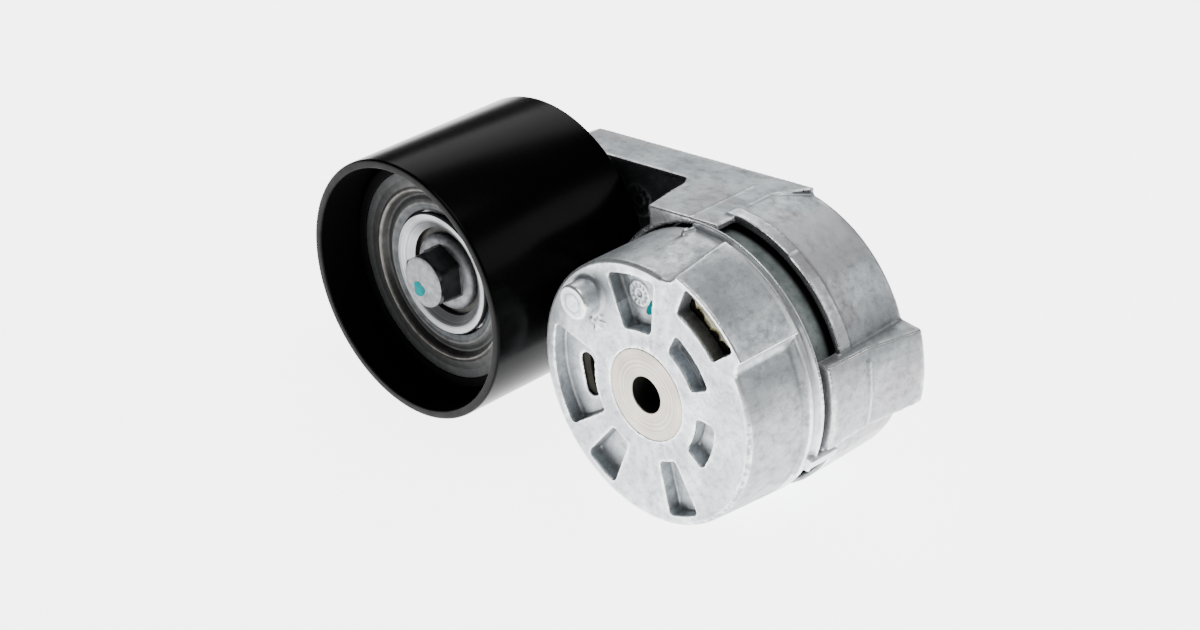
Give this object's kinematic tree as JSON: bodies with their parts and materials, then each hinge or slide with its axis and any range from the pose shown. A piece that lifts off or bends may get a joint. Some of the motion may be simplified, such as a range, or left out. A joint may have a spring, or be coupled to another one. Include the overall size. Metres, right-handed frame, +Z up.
{
  "type": "belt tensioner idler",
  "caption": "Automatic belt tensioner: cast spring housing, swinging cast arm with a torsion spring, and a smooth idler pulley on a ball bearing.",
  "frame": {"origin": "on the arm's pivot axis, in the plane of the engine mounting face", "axes": "+Y runs along the pivot axis from the mounting face back through the tensioner, the pulley is at -X, and +Z is up with the tensioner lying as in the picture"},
  "size_m": [0.1655, 0.0748, 0.0815],
  "materials": {
    "base_casting": "as cast, light mottled grey",
    "arm_casting": "as cast, mottled grey",
    "shaft_steel": "turned, fine rings",
    "washer_steel": "plated",
    "sleeve_plastic": "dark grey-green",
    "band_steel": "spring steel",
    "seat_plastic": "natural nylon",
    "spring_steel": "dark, greased",
    "bushing_plastic": "bearing plastic",
    "bolt_steel": "plated grey",
    "clamp_metal": "bright, satin",
    "bearing_steel": "ground",
    "ball_steel": "polished",
    "cage_steel": "pressed",
    "cover_steel": "dark pressed steel",
    "shield_steel": "zinc plated",
    "ring_steel": "phosphated",
    "seal_rubber": "black",
    "pulley_paint": "gloss black"
  },
  "bodies": {
    "base": {"base_housing": "base_casting", "pivot_shaft": "shaft_steel", "front_thrust_washer": "bushing_plastic", "damping_sleeve": "sleeve_plastic", "damper_band": "band_steel", "front_spring_seat": "seat_plastic", "torsion_spring": "spring_steel", "end_washer": "washer_steel"},
    "arm": {"tensioner_arm": "arm_casting", "front_bushing": "bushing_plastic", "rear_bushing": "bushing_plastic", "rear_thrust_washer": "bushing_plastic", "rear_spring_seat": "seat_plastic", "pulley_bolt": "bolt_steel", "bearing_clamp_cup": "clamp_metal", "bearing_sleeve": "shaft_steel", "bearing_inner_ring": "bearing_steel", "rear_dust_shield": "shield_steel"},
    "pulley": {"pulley_shell": "pulley_paint", "front_dust_cover": "cover_steel", "bearing_retaining_ring": "ring_steel", "bearing_outer_ring": "bearing_steel", "front_bearing_seal": "seal_rubber", "rear_bearing_seal": "seal_rubber"},
    "ball_set": {"bearing_balls": "ball_steel", "ball_cage": "cage_steel"}
  },
  "joints": [
    {"name": "arm_pivot", "type": "hinge", "parent": "base", "child": "arm", "pos_m": [0, 0.04, 0], "axis": [0, -1, 0], "range_deg": [0, 45], "stiffness_Nm_per_rad": 20, "springref_deg": -34.38, "deforming": ["torsion_spring"]},
    {"name": "pulley_spin", "type": "hinge", "parent": "arm", "child": "pulley", "pos_m": [-0.0808, 0.0131, 0], "axis": [0, -1, 0], "continuous": true},
    {"name": "ball_set_spin", "type": "hinge", "parent": "arm", "child": "ball_set", "pos_m": [-0.0808, 0.0131, 0], "axis": [0, -1, 0], "continuous": true}
  ],
  "couplings": [
    {"joint": "ball_set_spin", "follows": "pulley_spin", "ratio": 0.6314}
  ]
}
